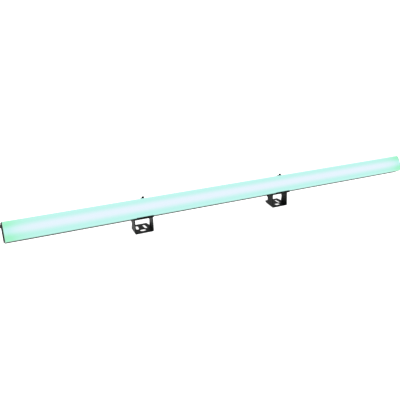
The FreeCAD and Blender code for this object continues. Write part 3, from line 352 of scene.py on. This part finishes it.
def metal(name, dark, light, grain_size, roughness, spread):
    """A metal whose tone and roughness drift with its grain."""
    finish = Finish(name, Metallic=1.0)
    grain = finish.grain(grain_size, detail=3)
    return finish.set(Base_Color=finish.mix(grain, dark, light), Roughness=roughness + spread * grain,
                      Normal=finish.bump(grain, strength=0.08, depth=grain_size / 10))


black_oxide = metal("black oxide steel", dark=(0.030, 0.031, 0.033), light=(0.075, 0.077, 0.080),
                    grain_size=0.0008, roughness=0.32, spread=0.2)
zinc = metal("zinc plated steel", dark=(0.42, 0.44, 0.46), light=(0.68, 0.70, 0.73),
             grain_size=0.0025, roughness=0.24, spread=0.2)
nickel = metal("nickel plated brass", dark=(0.50, 0.47, 0.42), light=(0.66, 0.63, 0.58),
               grain_size=0.0015, roughness=0.16, spread=0.15)
gold = metal("gold flashed contacts", dark=(0.70, 0.48, 0.18), light=(0.88, 0.66, 0.30),
             grain_size=0.0006, roughness=0.18, spread=0.15)
solder = metal("solder", dark=(0.55, 0.56, 0.57), light=(0.80, 0.80, 0.80),
               grain_size=0.001, roughness=0.14, spread=0.25)

# %% Metal pieces that keep their CAD shape
give(zinc, "board_screws", "driver_screws", "hinge_nuts_left", "hinge_nuts_right",
     "clamp_nut_left", "clamp_nut_right")
give(nickel, "power_socket_nut", "data_socket_nut")
give(gold, "power_socket_contacts", "data_socket_contacts")
give(solder, "board_links")

# %% [markdown]
# ## Boards, LEDs and what is on them
# Solder mask is a thin coloured varnish, and the copper under it shows as slightly paler tracks. The
# tracks run along the board, so they are stripes in the height up the face. An LED is a white case with a
# well of yellow phosphor: the well's floor lies deeper than the case's front, and that depth is the mask.
# The capacitors are the tallest parts of the driver board, so height tells their bare tops from the rest.

# %% Boards


def solder_mask(name, board, bare, over_copper, tracks):
    """Varnish over a board, paler where a track runs under it."""
    finish = Finish(name, Coat_Weight=0.3, Coat_Roughness=0.25)
    low, high = reach(board, up)
    wave = finish.sine((finish.distance(up) - low) * (2 * math.pi * tracks / (high - low)))
    copper = finish.rise(wave, low=0.2, high=0.4)
    return finish.set(Base_Color=finish.mix(copper, bare, over_copper),
                      Roughness=0.35 + 0.1 * finish.grain(size=0.002),
                      Normal=finish.bump(copper, strength=0.2, depth=0.00004))


BOARDS = 4
white_mask = solder_mask("white solder mask", "led_board_1", tracks=5,
                         bare=(0.78, 0.78, 0.75), over_copper=(0.86, 0.86, 0.84))
green_mask = solder_mask("green solder mask", "driver_board", tracks=9,
                         bare=(0.010, 0.090, 0.040), over_copper=(0.030, 0.190, 0.085))
give(white_mask, *numbered("led_board", BOARDS))
give(green_mask, "driver_board")

# %% Thermal tape
WEAVE_SCALE = 600
tape = Finish("thermal tape")
weave = tape.node("ShaderNodeTexWave", {"bands_direction": "DIAGONAL"},
                  {"Vector": tape.place, "Scale": WEAVE_SCALE})
tape.set(Base_Color=tape.mix(weave, (0.30, 0.34, 0.40), (0.42, 0.47, 0.54)), Roughness=0.75 + 0.1 * weave)
give(tape, "thermal_tape")

# %% LEDs
# depths below the case's front between which its white turns into phosphor
PHOSPHOR_FROM, PHOSPHOR_FULL = 0.00025, 0.00035
led = Finish("LED case and phosphor", Specular_IOR_Level=0.5)
led_front = reach("led_packages_1", back)[0]
in_well = led.rise(led.distance(back), low=led_front + PHOSPHOR_FROM, high=led_front + PHOSPHOR_FULL)
gel = led.grain(size=0.0009)
led.set(Base_Color=led.mix(in_well, (0.86, 0.86, 0.82), (0.90, 0.62, 0.10)), Roughness=0.28 + 0.2 * gel)
give(led, *numbered("led_packages", BOARDS))

# %% Components
# depths below the tallest can's top between which plastic turns into bare metal
CAN_TOP_FROM, CAN_TOP_FULL = 0.0003, 0.0002
components = Finish("component cases and can tops", Specular_IOR_Level=0.4)
tallest = reach("driver_components", back)[1]
can_top = components.rise(components.distance(back), low=tallest - CAN_TOP_FROM, high=tallest - CAN_TOP_FULL)
components.set(
    Base_Color=components.mix(can_top, (0.018, 0.018, 0.020), (0.60, 0.61, 0.62)),
    Metallic=can_top, Roughness=0.32 + 0.2 * components.grain(size=0.001))
give(components, "driver_components")

# %% [markdown]
# ## Nylon, inserts and wires
# These are all plain mouldings or extrusions that only differ in colour and gloss, so one function serves
# them: a colour that drifts a little between two tones, and a fine grain in the gloss.

# %% Plain plastics


def plastic(name, dark, light, grain_size, roughness):
    """A plain plastic whose tone and gloss drift with its grain."""
    finish = Finish(name)
    grain = finish.grain(grain_size, detail=3)
    return finish.set(Base_Color=finish.mix(grain, dark, light), Roughness=roughness + 0.15 * grain,
                      Normal=finish.bump(grain, strength=0.1, depth=grain_size / 10))


WIRE_GRAIN, WIRE_ROUGHNESS = 0.004, 0.28
nylon = plastic("natural nylon", dark=(0.66, 0.65, 0.58), light=(0.80, 0.79, 0.74),
                grain_size=0.002, roughness=0.40)
insert = plastic("socket insert", dark=(0.014, 0.014, 0.015), light=(0.028, 0.028, 0.030),
                 grain_size=0.0006, roughness=0.45)
red_wire = plastic("red wire", (0.42, 0.020, 0.014), (0.56, 0.036, 0.024), WIRE_GRAIN, WIRE_ROUGHNESS)
grey_wire = plastic("grey wire", (0.26, 0.27, 0.28), (0.36, 0.37, 0.38), WIRE_GRAIN, WIRE_ROUGHNESS)
give(nylon, "driver_spacers", "hinge_washers_left", "hinge_washers_right")
give(insert, "power_socket_insert", "data_socket_insert")
give(red_wire, "power_leads")
give(grey_wire, "data_leads")

# %% [markdown]
# ## Edges that catch the light
# A CAD edge is infinitely sharp and vanishes in a render. Real sheet metal has a deburred and coated edge,
# and moulded plastic a small radius, and both show as a thin highlight. Each such piece is rebuilt from
# its CAD shape: its points are welded, the flat triangles are joined into whole faces, and every sharp
# edge gets a bevel. A bevel only cuts corners off, so no piece grows past its CAD size.

# %% Make a mesh into a piece


def piece_from(name, mesh, finish, body, node):
    """Make a mesh into a piece that rides on a body and stands for a CAD node."""
    piece = bpy.data.objects.new(name, mesh)
    bpy.context.collection.objects.link(piece)
    mesh.materials.append(finish.material)
    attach(piece, body)
    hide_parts(node)
    return piece


# %% Rebuild a piece with soft edges
WELD = 1e-6
FLAT = math.radians(0.5)
SHARP = math.radians(30)


def softened(node, finish, body, width, segments=2):
    """A copy of a CAD piece with its sharp edges bevelled."""
    source = nodes[node].data
    mesh = bpy.data.meshes.new(node + "_soft")
    mesh.from_pydata([vertex.co for vertex in source.vertices], [],
                     [polygon.vertices for polygon in source.polygons])
    shape = bmesh.new()
    shape.from_mesh(mesh)
    bmesh.ops.remove_doubles(shape, verts=shape.verts, dist=WELD)
    bmesh.ops.dissolve_limit(shape, angle_limit=FLAT, verts=shape.verts, edges=shape.edges)
    shape.to_mesh(mesh)
    shape.free()
    piece = piece_from(node + "_soft", mesh, finish, body, node)
    bevel = piece.modifiers.new("soft edge", "BEVEL")
    bevel.width = width
    bevel.segments = segments
    bevel.limit_method = "ANGLE"
    bevel.angle_limit = SHARP
    bevel.harden_normals = True
    mesh.shade_smooth()
    mesh.set_sharp_from_angle(angle=SHARP)
    print(piece.name, len(mesh.polygons), "faces before its bevel")


# %% Brackets, caps, knobs and screws
SHEET_EDGE, KNOB_EDGE, CAP_EDGE = 0.0003, 0.0005, 0.00025
PAN_HEAD_EDGE, HINGE_HEAD_EDGE = 0.0003, 0.0005
for side in ("left", "right"):
    softened("saddle_" + side, powder, side + "_saddle", SHEET_EDGE)
    softened("yoke_" + side, powder, side + "_yoke", SHEET_EDGE)
    softened("clamp_knob_" + side, moulded, side + "_clamp", KNOB_EDGE, segments=3)
    softened("end_cap_" + side, moulded, "batten", CAP_EDGE, segments=3)
    softened("cap_screws_" + side, black_oxide, "batten", PAN_HEAD_EDGE, segments=3)
    softened("hinge_screws_" + side, black_oxide, side + "_yoke", HINGE_HEAD_EDGE, segments=3)

# %% [markdown]
# ## Screw threads
# The clamp studs and the barrels of the sockets carry real threads, which CAD leaves out because they
# slow it down. A thread is a cylinder whose radius depends on both height and angle: going once round
# lifts the groove by one pitch. So these pieces are spun from a section, and where the section is
# threaded each ring's radius follows that rule.

# %% Points of a section
RINGS_IN_A_PITCH = 6


def thread(start, end, radius, depth, pitch):
    """Points of a threaded stretch: height, radius, thread depth and pitch."""
    steps = max(2, round(RINGS_IN_A_PITCH * (end - start) / pitch))
    return [(start + (end - start) * step / steps, radius, depth, pitch) for step in range(steps + 1)]


def plain(height, radius):
    """A point without a thread, so its groove has no depth and its pitch doesn't matter."""
    return (height, radius, 0, 1)


# %% Spin a section


def spun(name, foot, axis, section, closed, around=48):
    """A mesh spun about an axis from its foot; closed joins the section's last ring to its first."""
    side = axis.orthogonal().normalized()
    other = axis.cross(side)
    points = []
    for height, radius, depth, pitch in section:
        for step in range(around):
            share = step / around
            groove = 1 - abs(2 * ((height / pitch - share) % 1) - 1)
            spoke = side * math.cos(2 * math.pi * share) + other * math.sin(2 * math.pi * share)
            points.append(foot + axis * height + spoke * (radius - depth * groove))
    rings = len(section)
    faces = []
    for ring in range(rings if closed else rings - 1):
        here, there = ring * around, (ring + 1) % rings * around
        for step in range(around):
            following = (step + 1) % around
            faces.append((here + step, here + following, there + following, there + step))
    if not closed:
        faces.append(tuple(reversed(range(around))))
        faces.append(tuple(range((rings - 1) * around, rings * around)))
    mesh = bpy.data.meshes.new(name)
    mesh.from_pydata(points, [], faces)
    mesh.shade_smooth()
    mesh.set_sharp_from_angle(angle=SHARP)
    return mesh


# %% Clamp studs
STUD_RADIUS, STUD_THREAD = 0.002, {"depth": 0.00036, "pitch": 0.0007}
POINT_RADIUS, POINT_LENGTH, POINT_CHAMFER, RUN_OUT = 0.0014, 0.0012, 0.0002, 0.0005
for side in ("left", "right"):
    node = "clamp_stud_" + side
    start, end = reach(node, back)
    x, height = (sum(reach(node, direction)) / 2 for direction in (along, up))
    foot = along * x + up * height + back * start
    section = [plain(0, POINT_RADIUS - POINT_CHAMFER), plain(POINT_CHAMFER, POINT_RADIUS),
               plain(POINT_LENGTH, POINT_RADIUS)]
    section += thread(POINT_LENGTH + RUN_OUT, end - start, STUD_RADIUS, **STUD_THREAD)
    mesh = spun(node + "_thread", foot, back, section, closed=False)
    piece_from(node + "_thread", mesh, black_oxide, side + "_clamp", node)
    print(node, "%.1f mm long, %d faces" % (1000 * (end - start), len(mesh.polygons)))

# %% Section of a socket's shell
MOUTH_RADIUS, MOUTH_DEPTH, CORE_RADIUS = 0.0044, 0.008, 0.0039
BARREL_RADIUS, BARREL_THREAD = 0.006, {"depth": 0.0004, "pitch": 0.001}
FLANGE_THICKNESS, CHAMFER, SMALL_CHAMFER = 0.0015, 0.0004, 0.0002


def shell_section(inner, flange, outer, flange_radius):
    """From the core's inner end along the outside to the mouth; flange is where its back face lies."""
    face = flange + FLANGE_THICKNESS
    outside = [plain(inner, CORE_RADIUS), plain(inner, BARREL_RADIUS - CHAMFER)]
    outside += thread(inner + CHAMFER, flange, BARREL_RADIUS, **BARREL_THREAD)
    outside += [plain(flange, flange_radius - SMALL_CHAMFER), plain(flange + SMALL_CHAMFER, flange_radius),
                plain(face - CHAMFER, flange_radius), plain(face, flange_radius - CHAMFER)]
    outside += thread(face, outer - CHAMFER, BARREL_RADIUS, **BARREL_THREAD)
    mouth = [plain(outer, BARREL_RADIUS - CHAMFER), plain(outer, MOUTH_RADIUS + SMALL_CHAMFER),
             plain(outer - SMALL_CHAMFER, MOUTH_RADIUS), plain(outer - MOUTH_DEPTH, MOUTH_RADIUS),
             plain(outer - MOUTH_DEPTH, CORE_RADIUS)]
    return outside + mouth


# %% Socket shells
cap_face = reach("end_cap_right", along)[1]
for kind in ("power", "data"):
    node = kind + "_socket_shell"
    inner, outer = reach(node, along)
    lowest, highest = reach(node, up)
    depth, height = (sum(reach(node, direction)) / 2 for direction in (back, up))
    foot = back * depth + up * height
    seal_inner, seal_outer = reach(kind + "_socket_seal", along)
    flange = cap_face + (seal_outer - seal_inner)
    section = shell_section(inner, flange, outer, flange_radius=(highest - lowest) / 2)
    mesh = spun(node + "_thread", foot, along, section, closed=True, around=64)
    piece_from(node + "_thread", mesh, nickel, "batten", node)
    print(node, "%.1f mm long, %d faces" % (1000 * (outer - inner), len(mesh.polygons)))

# %% [markdown]
# ## Floor and light
# A light bar is shown best on a light table: the floor is a pale diffuser lit from below and the room is
# white, so that shadows almost vanish, the slots stay bright and black metal shows its shape by soft
# reflections. A large soft light from above the left gives the brackets one side that is a little paler,
# and a weaker one overhead does the same for their tops.

# %% Floor
FLOOR_HALF = 20
CORNERS = ((-1, -1), (1, -1), (1, 1), (-1, 1))
floor_mesh = bpy.data.meshes.new("floor")
floor_mesh.from_pydata([(x * FLOOR_HALF, y * FLOOR_HALF, 0) for x, y in CORNERS], [], [(0, 1, 2, 3)])
floor = bpy.data.objects.new("floor", floor_mesh)
bpy.context.collection.objects.link(floor)
table = Finish("light table", Roughness=1.0, Specular_IOR_Level=0.0, Emission_Strength=0.85)
cloudy = table.grain(size=0.5)
table.set(Base_Color=table.mix(cloudy, (0.50, 0.50, 0.50), (0.52, 0.52, 0.52)),
          Emission_Color=table.mix(cloudy, (0.98, 0.98, 0.98), (1.0, 1.0, 1.0)))
floor_mesh.materials.append(table.material)

# %% A white room
scene = bpy.context.scene
scene.view_settings.view_transform = "Standard"
world = bpy.data.worlds.new("bright room")
scene.world = world
world.use_nodes = True
room = world.node_tree.nodes["Background"]
room.inputs["Color"].default_value = (1, 1, 1, 1)
room.inputs["Strength"].default_value = 1.0
print("colours are shown with the", scene.view_settings.view_transform, "view transform")

# %% Soft lights


def soft_light(name, place, size, power):
    """A square light at a place, turned towards the frame's origin under the bar's middle."""
    lamp = bpy.data.lights.new(name, "AREA")
    lamp.size = size
    lamp.energy = power
    holder = bpy.data.objects.new(name, lamp)
    holder.location = place
    holder.rotation_euler = (-Vector(place)).to_track_quat("-Z", "Y").to_euler()
    bpy.context.collection.objects.link(holder)
    print(name, power, "W,", size, "m wide")


soft_light("key from the upper left", place=(-1.6, -1.0, 2.0), size=1.6, power=30)
soft_light("overhead", place=(0.3, 0.2, 2.6), size=2.2, power=25)
